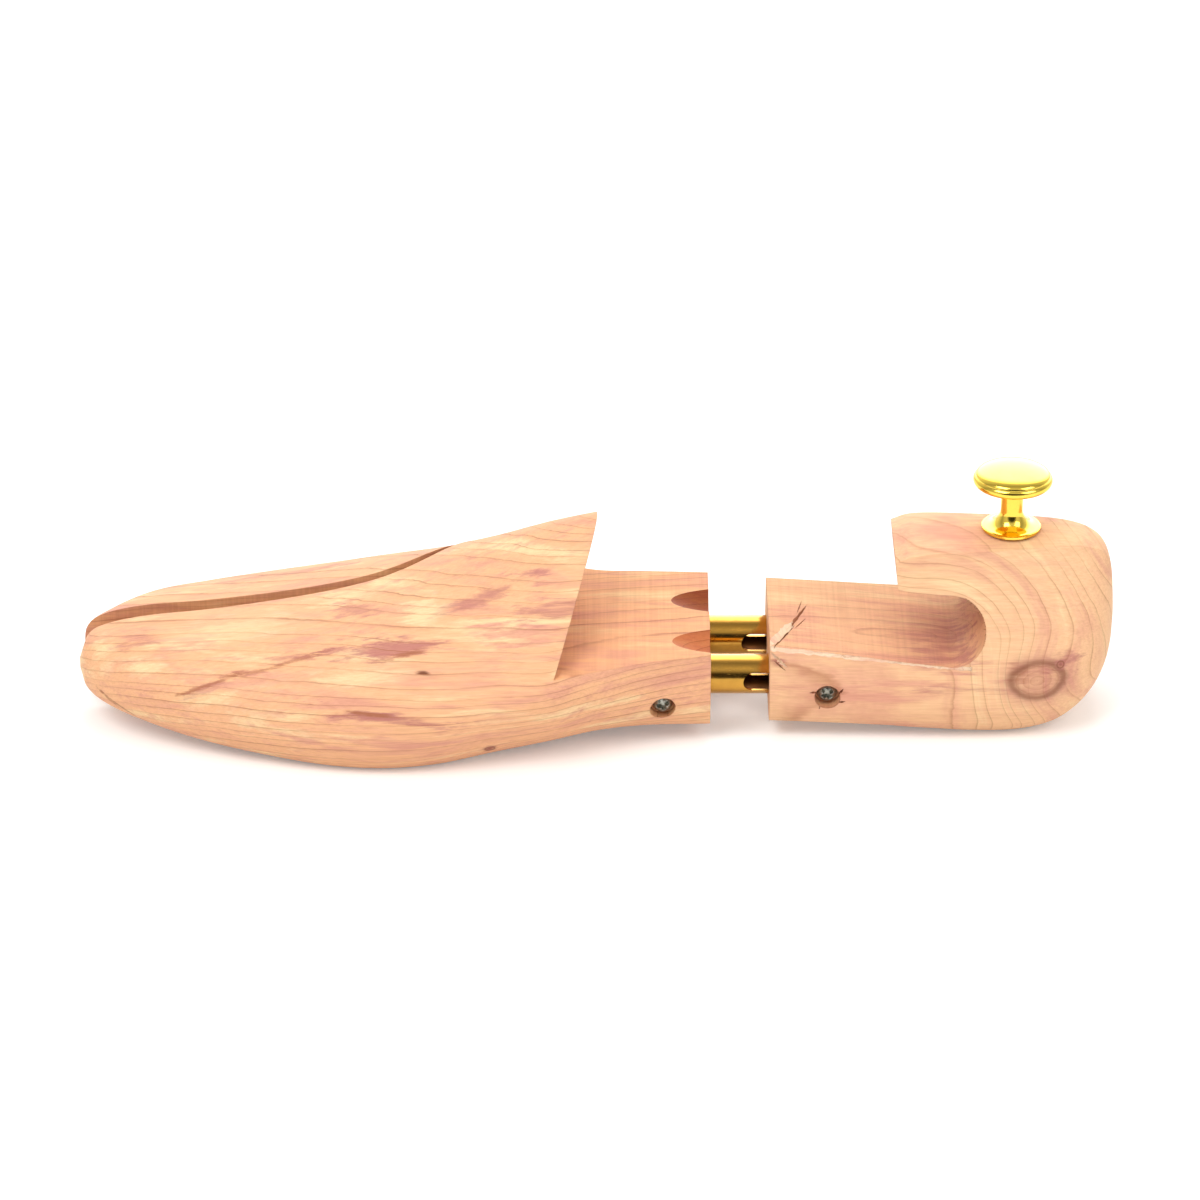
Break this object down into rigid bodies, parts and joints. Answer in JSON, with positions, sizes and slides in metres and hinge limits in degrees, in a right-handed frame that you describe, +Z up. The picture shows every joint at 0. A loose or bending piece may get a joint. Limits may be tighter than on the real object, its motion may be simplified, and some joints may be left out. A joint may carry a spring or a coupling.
{
  "type": "shoe stretcher",
  "caption": "Split-toe cedar shoe tree: a wooden forepart and heel on slotted brass-coloured tubes, sprung apart, with a pull knob on the heel.",
  "frame": {"origin": "centre of the object's box at rest, on the plane that the ball and the heel stand on", "axes": "+X from the toe to the heel along the tubes, +Z up, +Y to the side that the toe's split piece is on"},
  "size_m": [0.2992, 0.0898, 0.0768],
  "materials": {
    "cedar": "sanded, unfinished",
    "heel_cedar": "sanded, unfinished",
    "tube_brass": "brass-plated steel, dull",
    "knob_brass": "polished plating",
    "screw_steel": "dull plating",
    "pin_steel": "ground",
    "spring_steel": "drawn wire"
  },
  "bodies": {
    "forepart": {"forepart": "cedar", "near_tube": "tube_brass", "far_tube": "tube_brass", "forepart_screw": "screw_steel", "toe_spring": "spring_steel"},
    "side": {"toe_side_piece": "cedar", "hinge_pin": "pin_steel"},
    "heel": {"heel_block": "heel_cedar", "heel_screw": "screw_steel", "near_tube_spring": "spring_steel", "far_tube_spring": "spring_steel", "knob": "knob_brass", "knob_stud": "pin_steel"}
  },
  "joints": [
    {"name": "heel_slide", "type": "slide", "parent": "forepart", "child": "heel", "axis": [-1, 0, 0], "range_m": [0, 0.016], "stiffness_N_per_m": 1400, "springref_m": -0.009, "deforming": ["near_tube_spring", "far_tube_spring"]},
    {"name": "toe_split", "type": "hinge", "parent": "forepart", "child": "side", "pos_m": [-0.06015, 0.03035, 0.016], "axis": [0, 0, 1], "range_deg": [0, 4], "stiffness_Nm_per_rad": 3, "springref_deg": -5.16, "deforming": ["toe_spring"]}
  ]
}
